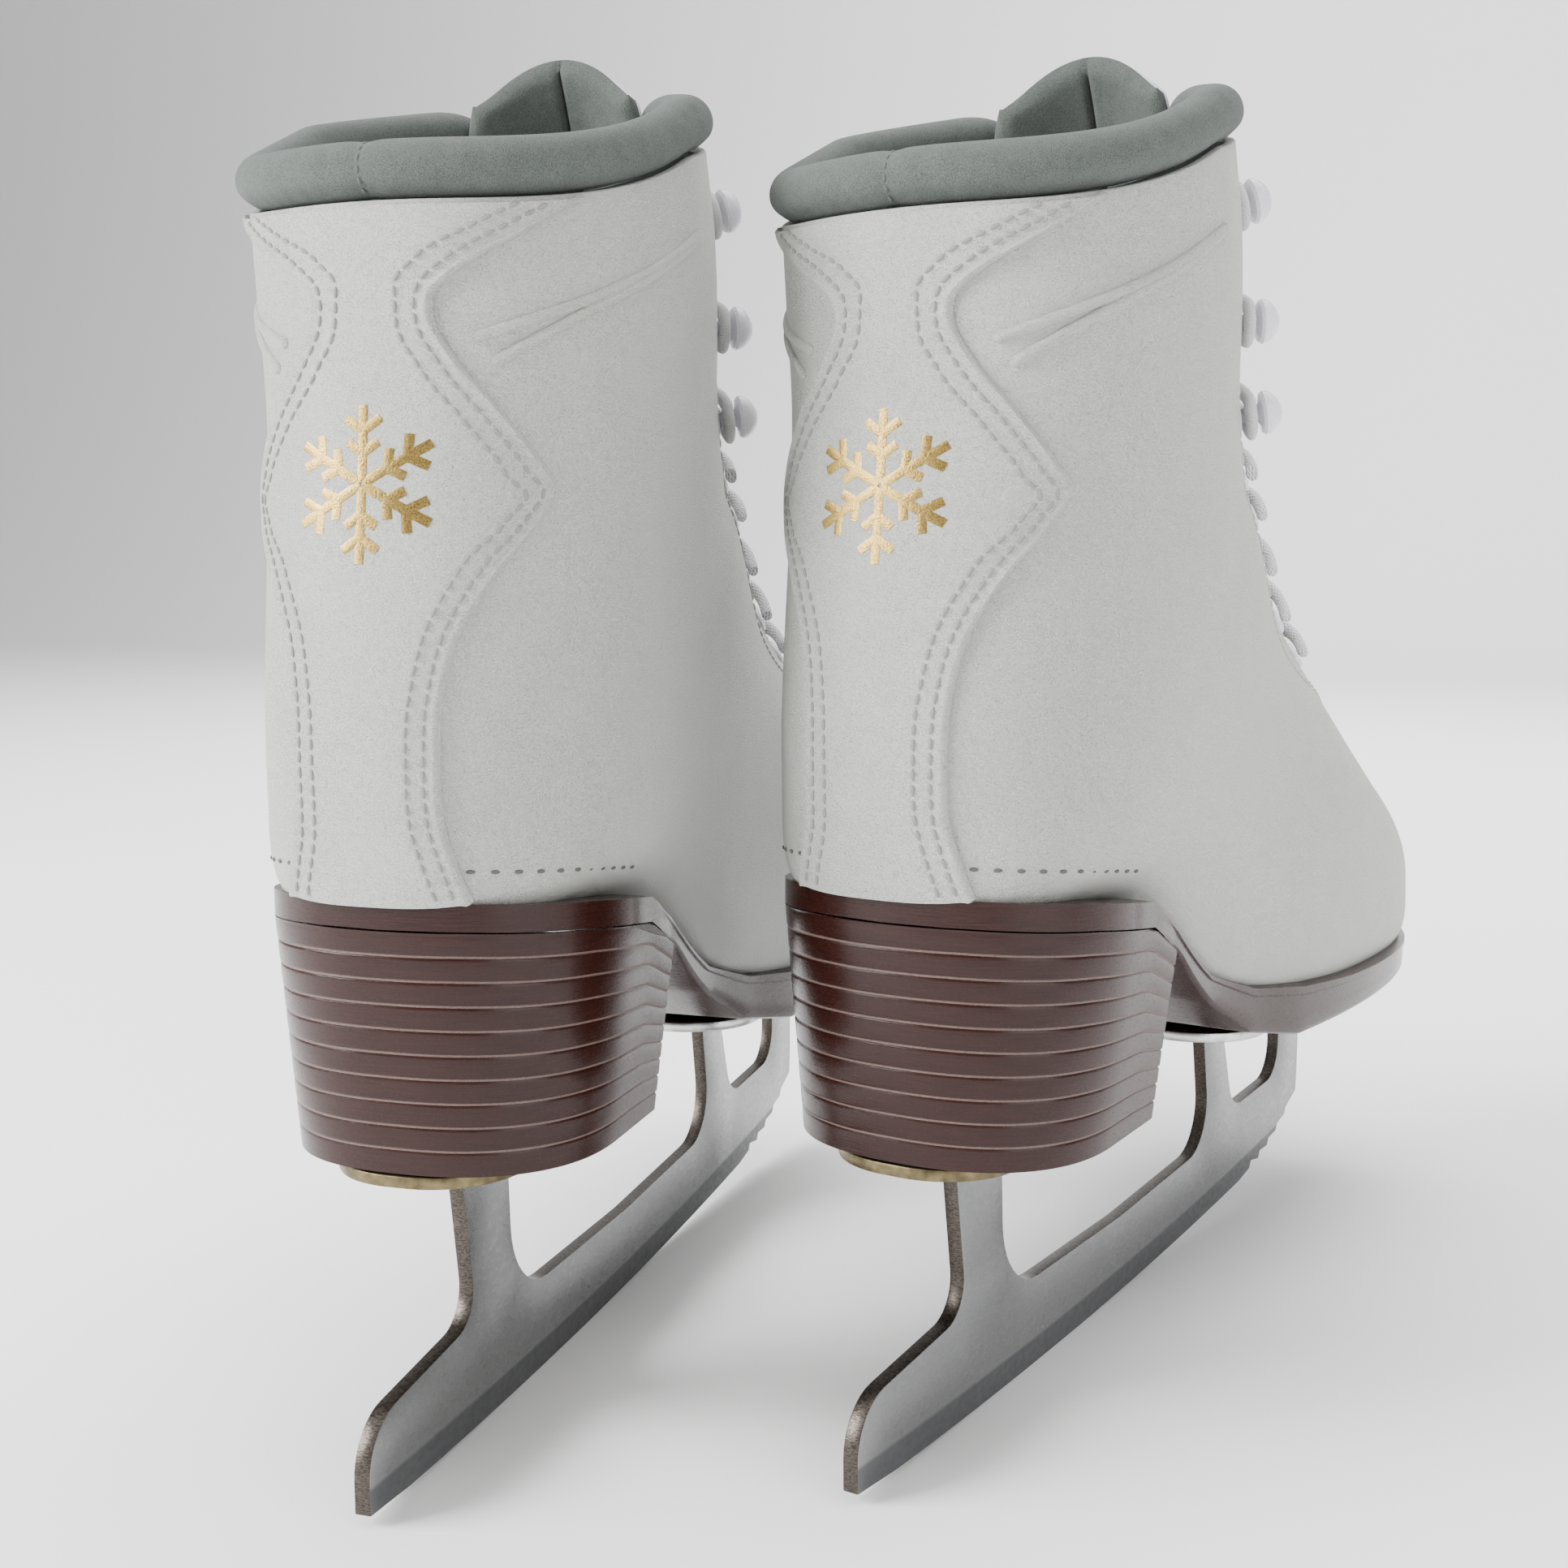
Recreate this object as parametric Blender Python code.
"""A pair of lace-up figure skates, left and right, standing on their blades.

Each skate is built in its own frame, in millimetres: x to the wearer's right, y forward from the
blade's tail, z up from the ice. The two frames then stand side by side, toes turned out. The boot is
a loft of rings that fan round the ankle, from the toe cap to the top line, and every layer of it
(upper, stiffener, lining, tongue, collar) is that same surface, offset inwards or outwards.
"""

import math

import bmesh
import bpy
import numpy as np
from mathutils import Matrix, Vector

MM = 0.001
GAP = 0.3  # clearance between pieces that touch

# The blade, a steel profile set on edge
BLADE_LENGTH = 245.5
BLADE_THICKNESS = 3.2
ROCKER_RADIUS = 1850.0
ROCKER_CENTRE = 78.0
RUNNER_TOP = 18.5
PLATE_UNDERSIDE = 56.0
PLATE_THICKNESS = 2.3
PICK_TEETH = 5
PICK_START = BLADE_LENGTH - 38.5
PICK_DEPTH = 1.8

# The outsole and its stacked heel
HEEL_BACK = 10.5
HEEL_HALF_WIDTH = 33.3
HEEL_BREAST = 66.5
HEEL_TAPER_SIDE = 3.6
HEEL_TAPER_BACK = 4.2
SEAT_LIFT = 4.8
SOLE_BOTTOM = PLATE_UNDERSIDE + PLATE_THICKNESS + GAP
WELT = 1.3
SOLE_BEVEL = 1.6

# The boot's layers, as depths below the outer surface
UPPER_THICKNESS = 2.0
STIFFENER_THICKNESS = 1.0
LINING_THICKNESS = 2.0
TONGUE_THICKNESS = 5.5
FOOTBED_THICKNESS = 3.0
STAY_THICKNESS = 0.9
STIFFENER_DEPTH = UPPER_THICKNESS + GAP
LINING_DEPTH = STIFFENER_DEPTH + STIFFENER_THICKNESS + GAP
INNER_DEPTH = LINING_DEPTH + LINING_THICKNESS
FOOTBED_DEPTH = INNER_DEPTH + 3 * GAP
TONGUE_DEPTH = INNER_DEPTH + 1.4
THROAT_HALF_GAP = 16.0
SHAFT_LEAN = -3.0

# Lacing
HOOK_STATIONS = (18.85, 16.75, 14.5)
EYELET_STATIONS = (12.5, 11.0, 9.5, 8.1, 6.8)
LACE_DIAMETER = 3.0
HOOK_STEM_RADIUS = 1.5
HOOK_HEAD_RADIUS = 4.2

# Plate screws
SCREW_RADIUS = 1.8
SCREW_HEAD_RADIUS = 3.6
SCREW_LENGTH = 13.0
HEEL_SCREWS = ((-11, 28), (11, 28), (-11, 52), (11, 52))
SOLE_SCREWS = ((-14, 150), (14, 150), (-14, 214), (14, 214))

# The pair
TOE_OUT = math.radians(7.6)
RIGHT_OFFSET = (72.8, 42.8)

# Rings of the boot: back or bottom point (y, z), front or top point (y, z), half width, squareness
# of the back half and of the front half, and where the ring is widest between the two points
RINGS = np.array(
    [
        (270.5, 70.5, 271.5, 82.5, 9.0, 2.6, 2.00, 0.50),
        (267.0, 67.6, 263.0, 94.5, 17.5, 3.2, 2.00, 0.45),
        (258.0, 67.2, 250.0, 106.0, 25.2, 3.8, 2.00, 0.38),
        (243.0, 67.2, 232.0, 116.0, 31.2, 4.4, 2.00, 0.33),
        (222.0, 67.4, 213.0, 125.3, 34.8, 4.8, 2.00, 0.30),
        (198.0, 67.9, 196.0, 136.8, 36.2, 4.8, 2.00, 0.28),
        (172.0, 68.9, 181.0, 148.4, 36.2, 4.8, 2.00, 0.28),
        (146.0, 71.0, 170.0, 157.5, 35.0, 4.6, 2.00, 0.30),
        (122.0, 74.4, 161.0, 166.0, 33.5, 4.2, 2.00, 0.34),
        (100.0, 80.8, 154.0, 173.6, 33.0, 4.0, 2.00, 0.38),
        (78.0, 92.0, 149.0, 180.2, 33.8, 3.8, 2.00, 0.41),
        (55.0, 103.3, 145.0, 186.2, 35.3, 3.6, 2.00, 0.43),
        (32.0, 106.3, 142.0, 191.8, 36.5, 3.2, 2.00, 0.44),
        (12.5, 108.0, 139.0, 197.3, 37.0, 2.6, 2.00, 0.45),
        (8.5, 119.5, 137.0, 202.8, 37.5, 2.3, 2.00, 0.45),
        (8.0, 135.5, 135.0, 208.9, 37.5, 2.2, 2.00, 0.45),
        (10.0, 153.5, 133.0, 215.9, 37.5, 2.2, 2.00, 0.46),
        (13.0, 172.5, 131.0, 223.9, 38.0, 2.2, 2.00, 0.47),
        (15.5, 191.5, 128.0, 232.9, 39.0, 2.2, 1.95, 0.48),
        (17.0, 209.5, 123.0, 242.9, 40.5, 2.2, 1.85, 0.48),
        (17.0, 225.5, 117.0, 254.5, 41.0, 2.2, 1.75, 0.49),
        (16.0, 239.0, 112.0, 264.5, 41.5, 2.2, 1.75, 0.50),
        (15.0, 252.0, 106.5, 274.5, 42.0, 2.2, 1.75, 0.50),
    ]
)
TOP_RING = 20
THROAT_RING = 6
SQUAT = 0.6  # how slowly a ring climbs from its back or bottom point
HALF_COLUMNS = 8

# The sole's edge: (y, half width), heel back to toe tip
SOLE_EDGE = np.array(
    [
        (HEEL_BACK, 8.0),
        (14.0, 17.8),
        (19.0, 23.8),
        (25.5, 28.4),
        (33.0, 31.4),
        (44.0, HEEL_HALF_WIDTH),
        (55.0, 32.6),
        (66.4, 31.2),
        (66.6, 31.2),
        (78.0, 29.6),
        (100.0, 28.4),
        (122.0, 30.2),
        (146.0, 33.8),
        (172.0, 36.4),
        (198.0, 37.0),
        (222.0, 35.2),
        (243.0, 30.2),
        (258.0, 22.0),
        (267.0, 13.2),
        (271.5, 5.0),
    ]
)
SHANK_BOTTOM = np.array(
    [(HEEL_BREAST, 95.0), (78.0, 88.2), (100.0, 74.6), (122.0, 63.6), (146.0, SOLE_BOTTOM)]
)
TOE_SPRING = np.array([(246.0, SOLE_BOTTOM), (260.0, 61.0), (271.5, 64.5)])

COLOURS = {
    "white leather": ((0.80, 0.81, 0.78), 0.45, 0.0),
    "grey suede": ((0.30, 0.33, 0.31), 0.95, 0.0),
    "grey foam board": ((0.45, 0.42, 0.36), 0.9, 0.0),
    "brown sole": ((0.075, 0.030, 0.024), 0.28, 0.0),
    "steel": ((0.46, 0.47, 0.48), 0.3, 1.0),
    "bronze plate": ((0.42, 0.35, 0.24), 0.35, 1.0),
    "screw steel": ((0.7, 0.7, 0.68), 0.25, 1.0),
    "white nylon": ((0.78, 0.77, 0.82), 0.35, 0.0),
    "white lace": ((0.82, 0.82, 0.82), 0.85, 0.0),
}


def clear_scene():
    for obj in list(bpy.data.objects):
        bpy.data.objects.remove(obj, do_unlink=True)


def material(name):
    found = bpy.data.materials.get(name)
    if found:
        return found
    colour, roughness, metallic = COLOURS[name]
    found = bpy.data.materials.new(name)
    found.use_nodes = True
    shader = found.node_tree.nodes["Principled BSDF"]
    shader.inputs["Base Color"].default_value = (*colour, 1.0)
    shader.inputs["Roughness"].default_value = roughness
    shader.inputs["Metallic"].default_value = metallic
    return found


def add_solid(skate, name, points, faces, finish, smooth=True):
    """One closed body from points in the skate's frame, in millimetres."""
    build = bmesh.new()
    verts = [build.verts.new((skate.side * x * MM, y * MM, z * MM)) for x, y, z in points]
    for face in faces:
        build.faces.new([verts[i] for i in face])
    bmesh.ops.recalc_face_normals(build, faces=build.faces)
    mesh = bpy.data.meshes.new(name)
    build.to_mesh(mesh)
    build.free()
    return place(skate, name, mesh, finish, smooth)


def place(skate, name, mesh, finish, smooth=True, origin=(0.0, 0.0, 0.0)):
    obj = bpy.data.objects.new(f"{skate.name}_{name}", mesh)
    bpy.context.collection.objects.link(obj)
    mesh.materials.append(material(finish))
    if smooth:
        mesh.shade_smooth()
        mesh.set_sharp_from_angle(angle=math.radians(40))
    obj.parent = skate.stand
    obj.location = (skate.side * origin[0] * MM, origin[1] * MM, origin[2] * MM)
    return obj


class Skate:
    """One skate: its name, the side that its outer edge is on, and the empty that carries it."""

    def __init__(self, name, side, stand):
        self.name = name
        self.side = side
        self.stand = stand


# ---- the boot's surface


def ring_values(station):
    """The ring's values between stations, by a curve through its neighbours."""
    last = len(RINGS) - 1
    k = min(int(math.floor(max(station, 0.0))), last - 1)
    t = station - k
    before, here, there, after = (RINGS[min(max(i, 0), last)] for i in (k - 1, k, k + 1, k + 2))
    return 0.5 * (
        2 * here
        + (there - before) * t
        + (2 * before - 5 * here + 4 * there - after) * t * t
        + (3 * here - before - 3 * there + after) * t * t * t
    )


def boot_point(skate, station, angle):
    """A point of the outer surface: angle 0 is the back centre, pi the front centre, - the left side."""
    back_y, back_z, front_y, front_z, half_width, back_n, front_n, widest = ring_values(station)
    across, along = math.sin(angle), -math.cos(angle)
    squareness = back_n if along < 0 else front_n
    x = half_width * math.copysign(abs(across) ** (2 / squareness), across)
    reach = math.copysign(abs(along) ** (2 / squareness), along)
    share = widest + (reach * widest if reach < 0 else reach * (1 - widest))
    rise = share * (share / widest) ** SQUAT if share < widest else share
    lean = skate.side * SHAFT_LEAN * min(max((station - 10) / 10, 0), 1)
    return Vector((x + lean, back_y + (front_y - back_y) * share, back_z + (front_z - back_z) * rise))


def boot_normal(skate, station, angle):
    step = 0.02
    around = boot_point(skate, station, angle + step) - boot_point(skate, station, angle - step)
    along = boot_point(skate, station + step, angle) - boot_point(skate, station - step, angle)
    return around.cross(along).normalized()


def edge_angle(station, half_gap):
    """The angle at which the ring is half_gap from its centre, on the front."""
    values = ring_values(station)
    return math.pi - math.asin(min(half_gap / values[4], 0.9) ** (values[6] / 2))


def throat_gap(station):
    """Half the opening between the facings, which widens up the shaft; ahead of it, a share of the toe."""
    if station < THROAT_RING:
        return min(THROAT_HALF_GAP, 0.45 * ring_values(station)[4])
    return THROAT_HALF_GAP + 5.0 * (station - THROAT_RING) / (TOP_RING - THROAT_RING)


def boot_grid(skate):
    """Points round each ring: back centre, right side, front centre, left side. The toe's cap is last."""
    points = []
    for k in range(TOP_RING + 1):
        edge = edge_angle(k, throat_gap(k))
        angles = [edge * m / HALF_COLUMNS for m in range(HALF_COLUMNS + 1)]
        around = angles + [math.pi] + [-a for a in reversed(angles[1:])]
        points += [boot_point(skate, k, a) for a in around]
    points.append(Vector((0.0, 272.5, 80.0)))
    return points


RING_SIZE = 2 * HALF_COLUMNS + 2


def grid_quad(k, column):
    j = (column + 1) % RING_SIZE
    return (
        k * RING_SIZE + column,
        k * RING_SIZE + j,
        (k + 1) * RING_SIZE + j,
        (k + 1) * RING_SIZE + column,
    )


def triangles(quads):
    return [(a, b, c) for a, b, c, _ in quads] + [(a, c, d) for a, _, c, d in quads]


def mesh_normals(points, faces):
    """Outward normals: area weighted, turned by the surface's own winding."""
    normals = [Vector() for _ in points]
    for a, b, c in faces:
        area = (points[b] - points[a]).cross(points[c] - points[a])
        for i in (a, b, c):
            normals[i] += area
    return [n.normalized() if n.length > 0 else n for n in normals]


def layer(points, normals, faces, outer, inner):
    """A closed skin between two offsets of a surface: outer and inner are depths along the normals."""
    used = sorted({i for face in faces for i in face})
    place_of = {i: n for n, i in enumerate(used)}
    count = len(used)
    skin = [points[i] + normals[i] * outer for i in used] + [points[i] + normals[i] * inner for i in used]
    shell = [tuple(place_of[i] for i in face) for face in faces]
    sides = {}
    for face in shell:
        for a, b in zip(face, face[1:] + face[:1]):
            sides[(a, b)] = sides.get((b, a)) is None
            if not sides[(a, b)]:
                sides[(b, a)] = False
    walls = [(b, a, a + count, b + count) for (a, b), open_side in sides.items() if open_side]
    return skin, shell + [tuple(i + count for i in reversed(face)) for face in shell] + walls


class Boot:
    """The surface of one boot and the pieces cut from it."""

    def __init__(self, skate):
        self.skate = skate
        self.points = boot_grid(skate)
        quads = [grid_quad(k, j) for k in range(TOP_RING) for j in range(RING_SIZE)]
        tip = len(self.points) - 1
        self.toe_cap = [(tip, (j + 1) % RING_SIZE, j) for j in range(RING_SIZE)]
        self.normals = mesh_normals(self.points, triangles(quads) + self.toe_cap)

    def cells(self, rings, columns):
        return triangles([grid_quad(k, j % RING_SIZE) for k in rings for j in columns])

    def shell_cells(self):
        """Every cell but those of the throat, between the two facing edges."""
        around = range(-HALF_COLUMNS, HALF_COLUMNS)
        front = (HALF_COLUMNS, HALF_COLUMNS + 1)
        return (
            self.toe_cap
            + self.cells(range(TOP_RING), around)
            + self.cells(range(THROAT_RING), front)
        )

    def add_layer(self, name, faces, outer, inner, finish):
        skin, shell = layer(self.points, self.normals, faces, -outer, -inner)
        return add_local(self.skate, name, skin, shell, finish)


def add_local(skate, name, points, faces, finish, smooth=True):
    """As add_solid, for points that already have the skate's own left and right."""
    return add_solid(skate, name, [(p[0] * 1.0, p[1], p[2]) for p in points], faces, finish, smooth)


def patch(skate, rows, outer, inner):
    """A skin over rows of (station, angle), which lie closer than the boot's grid."""
    wide = len(rows[0])
    flat = [cell for row in rows for cell in row]
    points = [boot_point(skate, s, a) for s, a in flat]
    normals = [boot_normal(skate, s, a) for s, a in flat]
    quads = [
        (r * wide + c, r * wide + c + 1, (r + 1) * wide + c + 1, (r + 1) * wide + c)
        for r in range(len(rows) - 1)
        for c in range(wide - 1)
    ]
    return layer(points, normals, triangles(quads), -outer, -inner)


# ---- leather and padding


def build_upper(boot):
    boot.add_layer("upper", boot.shell_cells(), 0.0, UPPER_THICKNESS, "white leather")


def build_lining(boot):
    boot.add_layer("lining", boot.shell_cells(), LINING_DEPTH, INNER_DEPTH, "grey suede")


def build_stiffeners(boot):
    inner = STIFFENER_DEPTH + STIFFENER_THICKNESS
    counter = boot.cells(range(13, 17), range(-5, 5))
    boot.add_layer("heel_counter", counter, STIFFENER_DEPTH, inner, "grey foam board")
    board = boot.cells(range(2, 12), range(-2, 2))
    boot.add_layer("insole_board", board, STIFFENER_DEPTH, inner, "grey foam board")


def build_footbed(boot):
    """The removable footbed on the lining's floor."""
    floor = boot.cells(range(3, 12), range(-2, 2))
    boot.add_layer("footbed", floor, FOOTBED_DEPTH, FOOTBED_DEPTH + FOOTBED_THICKNESS, "grey suede")


STAY_OUTLINE = (
    (13.25, 0.36),
    (14.0, 0.34),
    (14.7, 0.35),
    (15.4, 0.38),
    (16.0, 0.45),
    (16.5, 0.62),
    (16.9, 0.80),
    (17.4, 0.72),
    (17.9, 0.54),
    (18.4, 0.36),
    (18.8, 0.27),
    (19.15, 0.34),
    (19.45, 0.52),
    (19.7, 0.72),
    (19.93, 0.92),
)


def build_back_stay(skate):
    columns = 8
    rows = [
        [(s, half * (2 * c / columns - 1)) for c in range(columns + 1)] for s, half in STAY_OUTLINE
    ]
    proud = 4.5 * GAP
    skin, faces = patch(skate, rows, -(proud + STAY_THICKNESS), -proud)
    add_local(skate, "back_stay", skin, faces, "white leather")


COLLAR_RADIUS = 4.9
COLLAR_SIDES = 8


def build_collar(boot):
    """The padded roll on the top line, from one facing round the back to the other."""
    skate = boot.skate
    columns = list(range(-HALF_COLUMNS, HALF_COLUMNS + 1))
    points = []
    for n, column in enumerate(columns):
        i = TOP_RING * RING_SIZE + column % RING_SIZE
        rim, out = boot.points[i], boot.normals[i]
        up = (rim - boot.points[i - RING_SIZE]).normalized()
        swell = 0.55 if n in (0, len(columns) - 1) else 1.0
        centre = rim - out * (4.6 - 1.6 * swell) + up * (COLLAR_RADIUS + GAP + 0.2)
        for side in range(COLLAR_SIDES):
            turn = 2 * math.pi * side / COLLAR_SIDES
            points.append(centre + (out * math.cos(turn) + up * math.sin(turn)) * COLLAR_RADIUS * swell)
    faces = []
    for n in range(len(columns) - 1):
        for side in range(COLLAR_SIDES):
            after = (side + 1) % COLLAR_SIDES
            a, b = n * COLLAR_SIDES, (n + 1) * COLLAR_SIDES
            faces.append((a + side, a + after, b + after, b + side))
    last = (len(columns) - 1) * COLLAR_SIDES
    faces.append(tuple(range(COLLAR_SIDES)))
    faces.append(tuple(last + side for side in reversed(range(COLLAR_SIDES))))
    add_local(skate, "collar_pad", points, faces, "grey suede")


TONGUE_START = 5.2
TONGUE_BREAK = 20.0
TONGUE_TOP = 21.75
TONGUE_COLUMNS = 6


def tongue_rows(first, last, rows, half_width, drop):
    """Rows of the tongue between two stations; drop lowers the ends of the last row, to round it."""
    found = []
    for r in range(rows + 1):
        row = []
        for c in range(TONGUE_COLUMNS + 1):
            across = 2 * c / TONGUE_COLUMNS - 1
            station = first + (last - drop * across * across - first) * r / rows
            width = half_width(station) * across
            turn = math.pi - edge_angle(station, abs(width))
            row.append((station, math.pi + math.copysign(turn, width) if width else math.pi))
        found.append(row)
    return found


def build_tongue(skate):
    inner = TONGUE_DEPTH + TONGUE_THICKNESS
    lower = tongue_rows(TONGUE_START, TONGUE_BREAK, 8, lambda s: 19.0 + 0.75 * (s - TONGUE_START), 0.1)
    skin, faces = patch(skate, lower, TONGUE_DEPTH, inner)
    add_local(skate, "tongue", skin, faces, "grey suede")
    upper = tongue_rows(TONGUE_BREAK + 0.06, TONGUE_TOP, 2, lambda s: 18.5, 0.45)
    skin, faces = patch(skate, upper, TONGUE_DEPTH, inner)
    add_local(skate, "tongue_top", skin, faces, "grey suede")


# ---- the sole


def read(table, y):
    return float(np.interp(y, table[:, 0], table[:, 1]))


def feather_height(y):
    """The height of the boot's underside above the ice, from the rings' bottom points."""
    bottom = RINGS[:14]
    return float(np.interp(y, bottom[::-1, 0], bottom[::-1, 1]))


def sole_underside(y):
    if y <= HEEL_BREAST:
        return feather_height(y) - GAP - SEAT_LIFT
    if y < SHANK_BOTTOM[-1, 0]:
        return read(SHANK_BOTTOM, y)
    return read(TOE_SPRING, y)


def slab(skate, name, stations, section, finish):
    """A body swept along y: section(y, half width) gives the corners (x, z) of each cut."""
    points, faces = [], []
    for y, half in stations:
        points += [(x, y, z) for x, z in section(y, half)]
    size = len(points) // len(stations)
    for n in range(len(stations) - 1):
        for i in range(size):
            j = (i + 1) % size
            faces.append((n * size + i, n * size + j, (n + 1) * size + j, (n + 1) * size + i))
    faces.append(tuple(range(size)))
    faces.append(tuple((len(stations) - 1) * size + i for i in reversed(range(size))))
    return add_solid(skate, name, points, faces, finish)


def build_outsole(skate):
    def section(y, half):
        top, low = feather_height(y) - GAP, sole_underside(y)
        bevel = SOLE_BEVEL if y > HEEL_BREAST else 0.4
        return (
            (-half, top),
            (half, top),
            (half, low + bevel),
            (half - bevel, low),
            (bevel - half, low),
            (-half, low + bevel),
        )

    return slab(skate, "outsole", [tuple(row) for row in SOLE_EDGE], section, "brown sole")


def build_heel(skate):
    """The stacked heel under the seat lift: a D outline that tapers to the tread."""
    count = 14
    back = [math.pi * (n / count - 0.5) for n in range(count + 1)]

    def outline(half, rear, front):
        squareness = 2.4
        reach = front - 22.0 - rear
        curve = [
            (
                half * math.copysign(abs(math.sin(a)) ** (2 / squareness), math.sin(a)),
                rear + reach * (1 - abs(math.cos(a)) ** (2 / squareness)),
            )
            for a in back
        ]
        return curve + [(half - 0.6, front), (0.6 - half, front)]

    low = outline(HEEL_HALF_WIDTH - HEEL_TAPER_SIDE, HEEL_BACK + HEEL_TAPER_BACK, HEEL_BREAST - 1.0)
    high = outline(HEEL_HALF_WIDTH, HEEL_BACK, HEEL_BREAST + 1.0)
    size = len(low)
    points = [(x, y, SOLE_BOTTOM) for x, y in low]
    points += [(x, y, feather_height(y) - 2 * GAP - SEAT_LIFT) for x, y in high]
    points += [(0.0, 40.0, SOLE_BOTTOM), (0.0, 33.0, feather_height(33.0) - 2 * GAP - SEAT_LIFT)]
    faces = [(i, (i + 1) % size, size + (i + 1) % size, size + i) for i in range(size)]
    faces += [(2 * size, (i + 1) % size, i) for i in range(size)]
    faces += [(2 * size + 1, size + i, size + (i + 1) % size) for i in range(size)]
    return add_solid(skate, "heel_block", points, faces, "brown sole")


# ---- the blade


def filleted(corners):
    """An outline from corners (y, z, radius), each rounded by an arc of its radius."""
    outline = []
    for n, (y, z, radius) in enumerate(corners):
        here = Vector((y, z))
        if radius == 0:
            outline.append(here)
            continue
        before = (Vector(corners[n - 1][:2]) - here).normalized()
        after = (Vector(corners[(n + 1) % len(corners)][:2]) - here).normalized()
        half = before.angle(after) / 2
        centre = here + (before + after).normalized() * (radius / math.sin(half))
        start = here + before * (radius / math.tan(half))
        sweep = math.pi - 2 * half
        turn = math.copysign(sweep, before.cross(after))
        steps = max(2, round(sweep / math.radians(18)))
        spoke = start - centre
        outline += [centre + Matrix.Rotation(-turn * i / steps, 2) @ spoke for i in range(steps + 1)]
    return outline


def rocker(y):
    return (y - ROCKER_CENTRE) ** 2 / (2 * ROCKER_RADIUS)


def blade_outline():
    """The profile in (y, z): tail, ground edge, toe picks, two front struts, runner and rear stanchion."""
    top = PLATE_UNDERSIDE - GAP
    stretch = BLADE_LENGTH / 245.5
    ground = [(y, rocker(y), 0) for y in range(15, int(PICK_START) - 3, 14)]
    picks = []
    for tooth in range(PICK_TEETH):
        share = tooth / PICK_TEETH
        y = PICK_START + (BLADE_LENGTH - 3.0 - PICK_START) * share
        z = 5.2 + 11.0 * share**1.6
        picks += [(y, z, 0), (y + 1.2, z + PICK_DEPTH, 0)]
    front = [
        (BLADE_LENGTH - 0.6, 17.6, 0),
        (BLADE_LENGTH, 24.0, 0),
        (BLADE_LENGTH, top, 0),
        (228.0 * stretch, top, 0),
        (228.0 * stretch, 26.6, 9),
        (192.0 * stretch, 25.3, 9),
        (180.8 * stretch, top, 0),
        (168.4 * stretch, top, 0),
        (175.5 * stretch, RUNNER_TOP + 2.0, 12),
        (118.0 * stretch, RUNNER_TOP - 0.2, 0),
        (58.5 * stretch, RUNNER_TOP + 0.4, 17),
        (56.4 * stretch, top, 0),
        (36.2 * stretch, top, 0),
        (42.0 * stretch, RUNNER_TOP + 3.4, 7.5),
        (0.4, 17.8, 10.5),
    ]
    return filleted([(0.6, 2.2, 0)] + ground + picks + front)


def build_blade(skate):
    outline = blade_outline()
    half = BLADE_THICKNESS / 2
    build = bmesh.new()
    right = [build.verts.new((skate.side * half * MM, y * MM, z * MM)) for y, z in outline]
    face = build.faces.new(right)
    grown = bmesh.ops.extrude_face_region(build, geom=[face])["geom"]
    moved = [item for item in grown if isinstance(item, bmesh.types.BMVert)]
    bmesh.ops.translate(build, verts=moved, vec=(-skate.side * BLADE_THICKNESS * MM, 0, 0))
    bmesh.ops.recalc_face_normals(build, faces=build.faces)
    mesh = bpy.data.meshes.new("blade")
    build.to_mesh(mesh)
    build.free()
    return place(skate, "blade", mesh, "steel")


def plate_outline(half_rear, half_front, rear, front, corner):
    """A plate in plan: round at the rear, straight sides, rounded front corners."""
    return filleted(
        [(-half_rear, rear, corner), (half_rear, rear, corner), (half_front, front, 9), (-half_front, front, 9)]
    )


def build_plate(skate, name, outline, finish):
    points = [(x, y, PLATE_UNDERSIDE) for x, y in outline]
    points += [(x, y, PLATE_UNDERSIDE + PLATE_THICKNESS) for x, y in outline]
    size = len(outline)
    faces = [(i, (i + 1) % size, size + (i + 1) % size, size + i) for i in range(size)]
    faces += [tuple(reversed(range(size))), tuple(range(size, 2 * size))]
    return add_solid(skate, name, points, faces, finish)


def turned(profile, sides):
    """Points and faces of a body turned about z: profile is (radius, z) from the bottom to the top."""
    points, faces = [], []
    for radius, z in profile:
        for n in range(sides):
            turn = 2 * math.pi * n / sides
            points.append((radius * math.cos(turn), radius * math.sin(turn), z))
    for row in range(len(profile) - 1):
        for n in range(sides):
            a, b = row * sides + n, row * sides + (n + 1) % sides
            faces.append((a, b, b + sides, a + sides))
    faces.append(tuple(reversed(range(sides))))
    faces.append(tuple((len(profile) - 1) * sides + n for n in range(sides)))
    return points, faces


def turned_mesh(name, profile, sides):
    points, faces = turned(profile, sides)
    mesh = bpy.data.meshes.new(name)
    mesh.from_pydata([Vector(p) * MM for p in points], [], faces)
    return mesh


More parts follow.
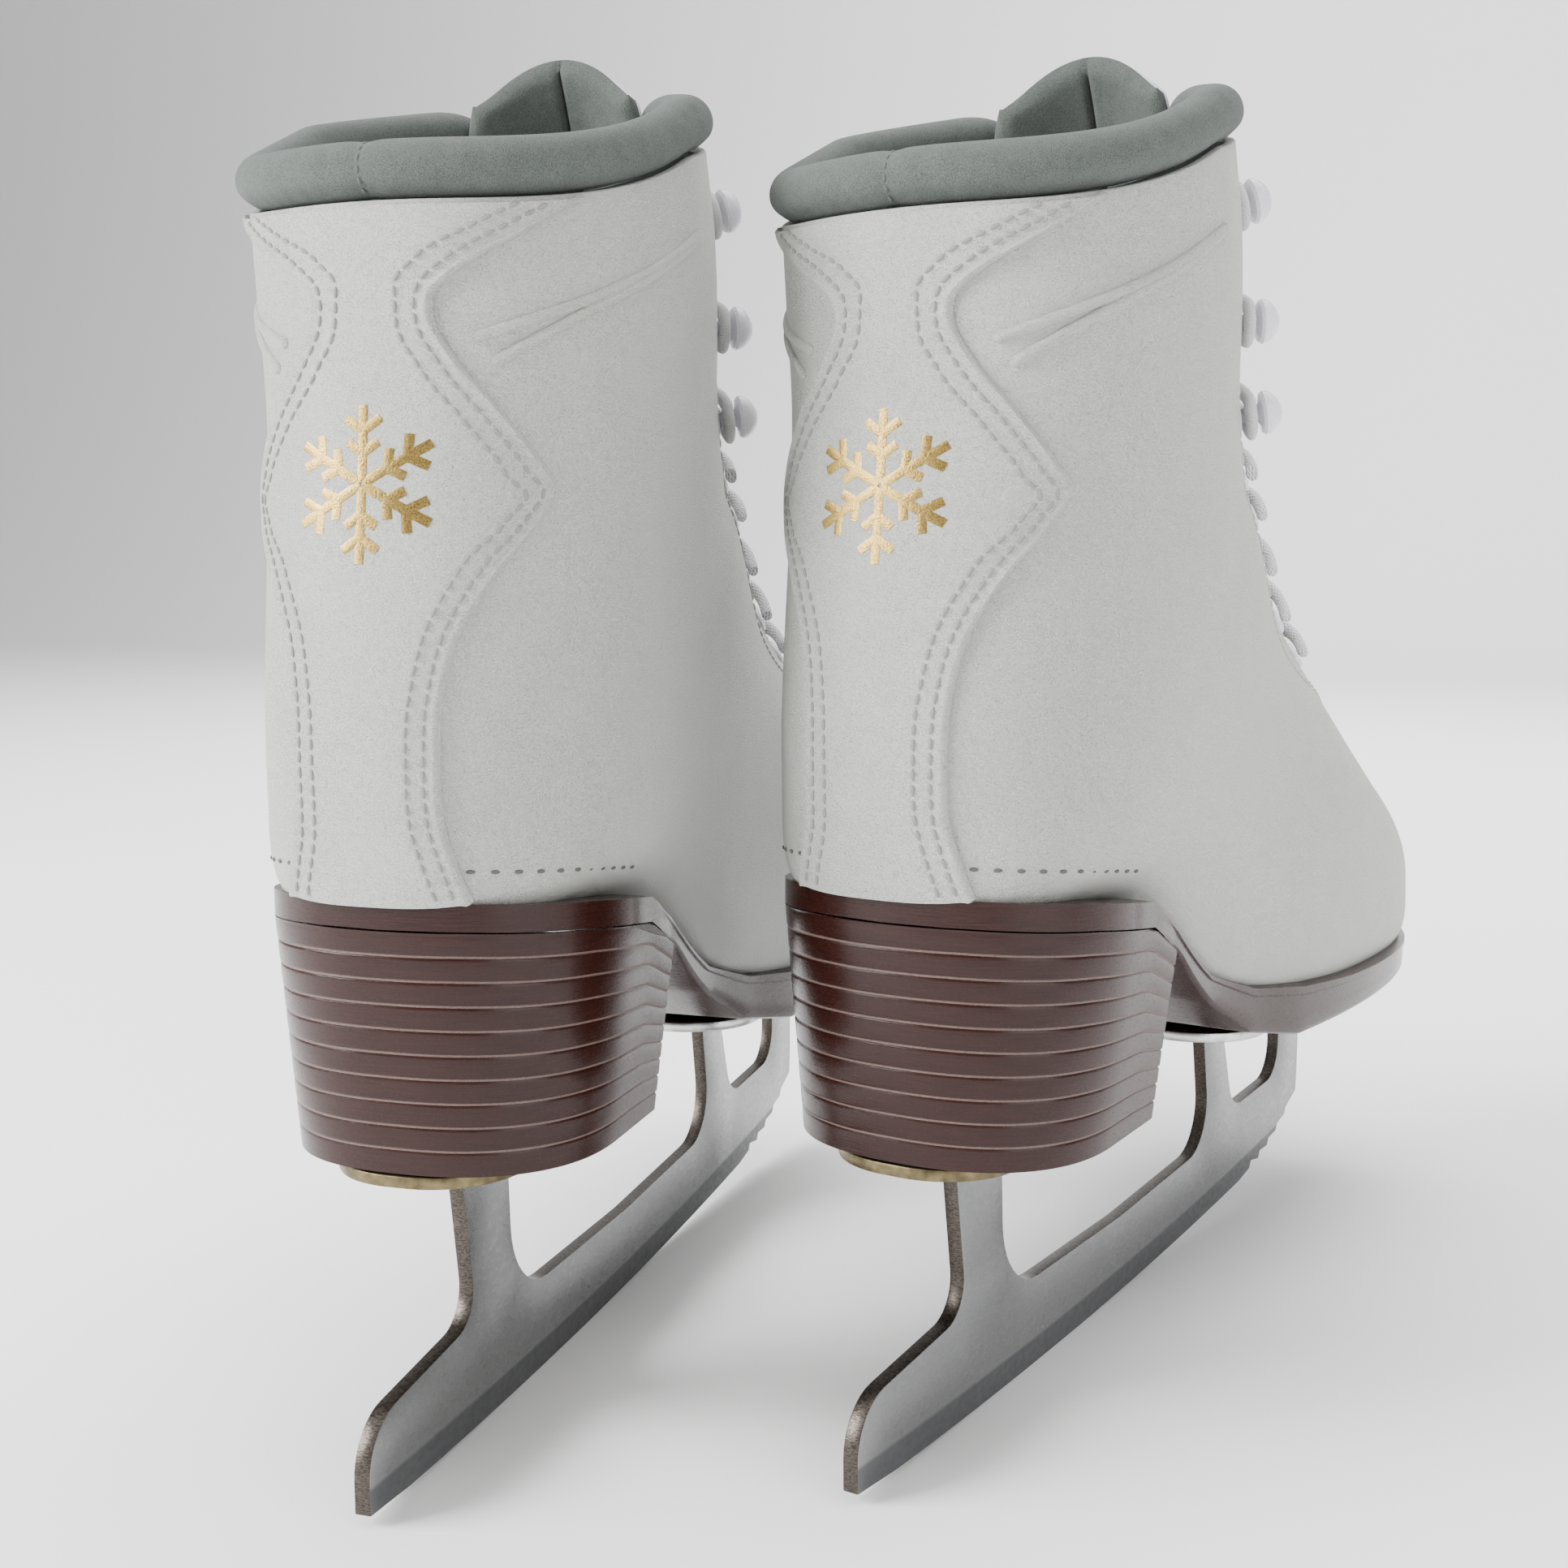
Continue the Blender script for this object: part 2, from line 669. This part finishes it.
def build_screws(skate):
    """Pan heads under the plates, shanks up through plate and sole; one cutter makes every bore."""
    head = 1.5
    seat = PLATE_UNDERSIDE - GAP
    cutters = []
    for group, spots in (("heel", HEEL_SCREWS), ("sole", SOLE_SCREWS)):
        for n, (x, y) in enumerate(spots, 1):
            length = SCREW_LENGTH if group == "heel" else 7.0
            shank = [(SCREW_RADIUS, seat), (SCREW_RADIUS, seat + length)]
            rim = [(SCREW_HEAD_RADIUS * 0.7, seat - head), (SCREW_HEAD_RADIUS, seat - head * 0.4)]
            mesh = turned_mesh("screw", rim + [(SCREW_HEAD_RADIUS, seat)] + shank, 8)
            place(skate, f"{group}_screw_{n}", mesh, "screw steel", origin=(x, y, 0.0))
            bore = turned_mesh("bore", [(SCREW_RADIUS + GAP, seat - 1.0), (SCREW_RADIUS + GAP, seat + length + 0.5)], 8)
            cutter = place(skate, f"bore_{group}_{n}", bore, "screw steel", origin=(x, y, 0.0))
            cutter.hide_render = True
            cutter.display_type = "WIRE"
            cutters.append((group, cutter))
    return cutters


def drill(obj, cutters):
    for n, cutter in enumerate(cutters):
        cut = obj.modifiers.new(f"bore {n + 1}", "BOOLEAN")
        cut.object = cutter


# ---- lacing


def facing_frame(skate, station, side, inset):
    """The point of the facing inset from its edge, and the surface's outward normal there."""
    angle = side * edge_angle(station, throat_gap(station) + inset)
    return boot_point(skate, station, angle), boot_normal(skate, station, angle)


HOOK_INSET = 5.0


def build_hooks(skate):
    profile = [
        (3.4, 0.5),
        (3.4, 1.2),
        (HOOK_STEM_RADIUS, 1.2),
        (HOOK_STEM_RADIUS, 5.2),
        (HOOK_HEAD_RADIUS, 5.8),
        (HOOK_HEAD_RADIUS * 0.7, 8.2),
    ]
    for label, side in (("outer", 1), ("inner", -1)):
        for n, station in enumerate(HOOK_STATIONS, 1):
            foot, out = facing_frame(skate, station, side, HOOK_INSET)
            foot = Vector((skate.side * foot.x, foot.y, foot.z))
            out = Vector((skate.side * out.x, out.y, out.z))
            mesh = turned_mesh("hook", profile, 8)
            mesh.transform(Matrix.Translation(foot * MM) @ out.to_track_quat("Z", "Y").to_matrix().to_4x4())
            place(skate, f"hook_{label}_{n}", mesh, "white nylon")


def lace_route(skate):
    """The lace from one tucked end, zigzag down to the toe and back up to the other end."""
    rows = [(s, True) for s in HOOK_STATIONS] + [(s, False) for s in EYELET_STATIONS]
    rest = LACE_DIAMETER / 2 + 0.8

    def edge(station, side, rise):
        """Where a strand bends over the edge of a facing."""
        foot, out = facing_frame(skate, station, side, -0.5)
        return foot + out * (rest + rise)

    def middle(station, rise):
        """Where a strand lies over the tongue; the upper one of two crossing strands rises."""
        out = boot_normal(skate, station, math.pi)
        low = (edge(station, 1, rise) + edge(station, -1, rise)) / 2
        crown = boot_point(skate, station, math.pi) + out * (rise + rest - TONGUE_DEPTH)
        return low + out * max(0.8, (crown - low).dot(out))

    def round_hook(station, side):
        """Points half way round the hook's stem, from above it to below it."""
        foot, out = facing_frame(skate, station, side, HOOK_INSET)
        outward = (facing_frame(skate, station, side, HOOK_INSET + 2.0)[0] - foot).normalized()
        up = outward.cross(out) * side
        reach = HOOK_STEM_RADIUS + LACE_DIAMETER / 2 + 0.6
        turns = [math.radians(t) for t in (100, 50, 0, -50, -100)]
        centre = foot + out * (LACE_DIAMETER / 2 + 1.6)
        return [centre + (outward * math.cos(t) + up * math.sin(t)) * reach for t in turns]

    def strand(side, rise):
        """One end's way down: round the stem of each hook, then across from eyelet to eyelet."""
        points = [tucked_end(skate, -side), middle(HOOK_STATIONS[0] + 0.45, rise)]
        for row, (station, hooked) in enumerate(rows):
            if hooked:
                points += [edge(station + 0.35, side, 0.0)] + round_hook(station, side) + [edge(station - 0.35, side, 0.0)]
            else:
                foot, out = facing_frame(skate, station, side, HOOK_INSET)
                points += [edge(station, side, 0.0), foot + out * rest, edge(station - 0.2, side, 0.0)]
            if row < len(rows) - 1:
                points.append(middle((station + rows[row + 1][0]) / 2, rise))
            side = -side
        return points

    return strand(1, LACE_DIAMETER + 0.4) + [middle(EYELET_STATIONS[-1] - 0.1, 0.0)] + strand(-1, 0.0)[::-1]


def tucked_end(skate, side):
    """Where the lace goes down beside the tongue, above the top hook."""
    station = HOOK_STATIONS[0] + 0.5
    angle = side * edge_angle(station, throat_gap(station) - 4.5)
    return boot_point(skate, station, angle) - boot_normal(skate, station, angle) * 2.2


def smooth_route(points, spacing):
    """A curve through the route's points, read at an even spacing."""
    curve = []
    for n in range(len(points) - 1):
        before, here, there, after = (points[min(max(i, 0), len(points) - 1)] for i in range(n - 1, n + 3))
        steps = max(1, round((there - here).length / spacing))
        for i in range(steps):
            t = i / steps
            curve.append(
                0.5
                * (
                    2 * here
                    + (there - before) * t
                    + (2 * before - 5 * here + 4 * there - after) * t * t
                    + (3 * here - before - 3 * there + after) * t * t * t
                )
            )
    return curve + [points[-1]]


def build_lace(skate):
    route = smooth_route(lace_route(skate), 14.0)
    curve = bpy.data.curves.new("lace", "CURVE")
    curve.dimensions = "3D"
    curve.bevel_depth = LACE_DIAMETER / 2 * MM
    curve.bevel_resolution = 1
    curve.use_fill_caps = True
    spline = curve.splines.new("POLY")
    spline.points.add(len(route) - 1)
    for point, place_mm in zip(spline.points, route):
        point.co = (skate.side * place_mm.x * MM, place_mm.y * MM, place_mm.z * MM, 1.0)
    curve.materials.append(material("white lace"))
    obj = bpy.data.objects.new(f"{skate.name}_lace", curve)
    bpy.context.collection.objects.link(obj)
    obj.parent = skate.stand


# ---- a whole skate, and the pair


def build_skate(name, side, offset, turn, pair):
    stand = bpy.data.objects.new(f"{name}_stand", None)
    bpy.context.collection.objects.link(stand)
    stand.parent = pair
    stand.location = (offset[0] * MM, offset[1] * MM, 0.0)
    stand.rotation_euler = (0.0, 0.0, turn)
    skate = Skate(name, side, stand)
    boot = Boot(skate)
    build_upper(boot)
    build_lining(boot)
    build_stiffeners(boot)
    build_back_stay(skate)
    build_collar(boot)
    build_tongue(skate)
    outsole, heel = build_outsole(skate), build_heel(skate)
    build_footbed(boot)
    build_blade(skate)
    heel_plate = build_plate(skate, "heel_plate", plate_outline(18.2, 17.0, 14.3, 62.0, 16), "bronze plate")
    sole_plate = build_plate(skate, "sole_plate", plate_outline(22.9, 19.0, 134.7, 248.0, 17), "steel")
    cutters = build_screws(skate)
    drill(heel, [c for group, c in cutters if group == "heel"])
    drill(heel_plate, [c for group, c in cutters if group == "heel"])
    drill(outsole, [c for group, c in cutters if group == "sole"])
    drill(sole_plate, [c for group, c in cutters if group == "sole"])
    build_hooks(skate)
    build_lace(skate)


def centre_on_origin(pair):
    """Moves the pair so that the middle of its box is over the origin."""
    bpy.context.view_layer.update()
    graph = bpy.context.evaluated_depsgraph_get()
    corners = []
    for obj in bpy.data.objects:
        if obj.type in ("MESH", "CURVE") and not obj.hide_render:
            mesh = obj.evaluated_get(graph).to_mesh()
            corners += [obj.matrix_world @ v.co for v in mesh.vertices]
            obj.evaluated_get(graph).to_mesh_clear()
    box = np.array(corners)
    low, high = box.min(axis=0), box.max(axis=0)
    pair.location = (-(low[0] + high[0]) / 2, -(low[1] + high[1]) / 2, -low[2])


def main():
    clear_scene()
    pair = bpy.data.objects.new("pair", None)
    bpy.context.collection.objects.link(pair)
    build_skate("left", -1, (0.0, 0.0), TOE_OUT, pair)
    build_skate("right", 1, RIGHT_OFFSET, -TOE_OUT, pair)
    centre_on_origin(pair)


main()
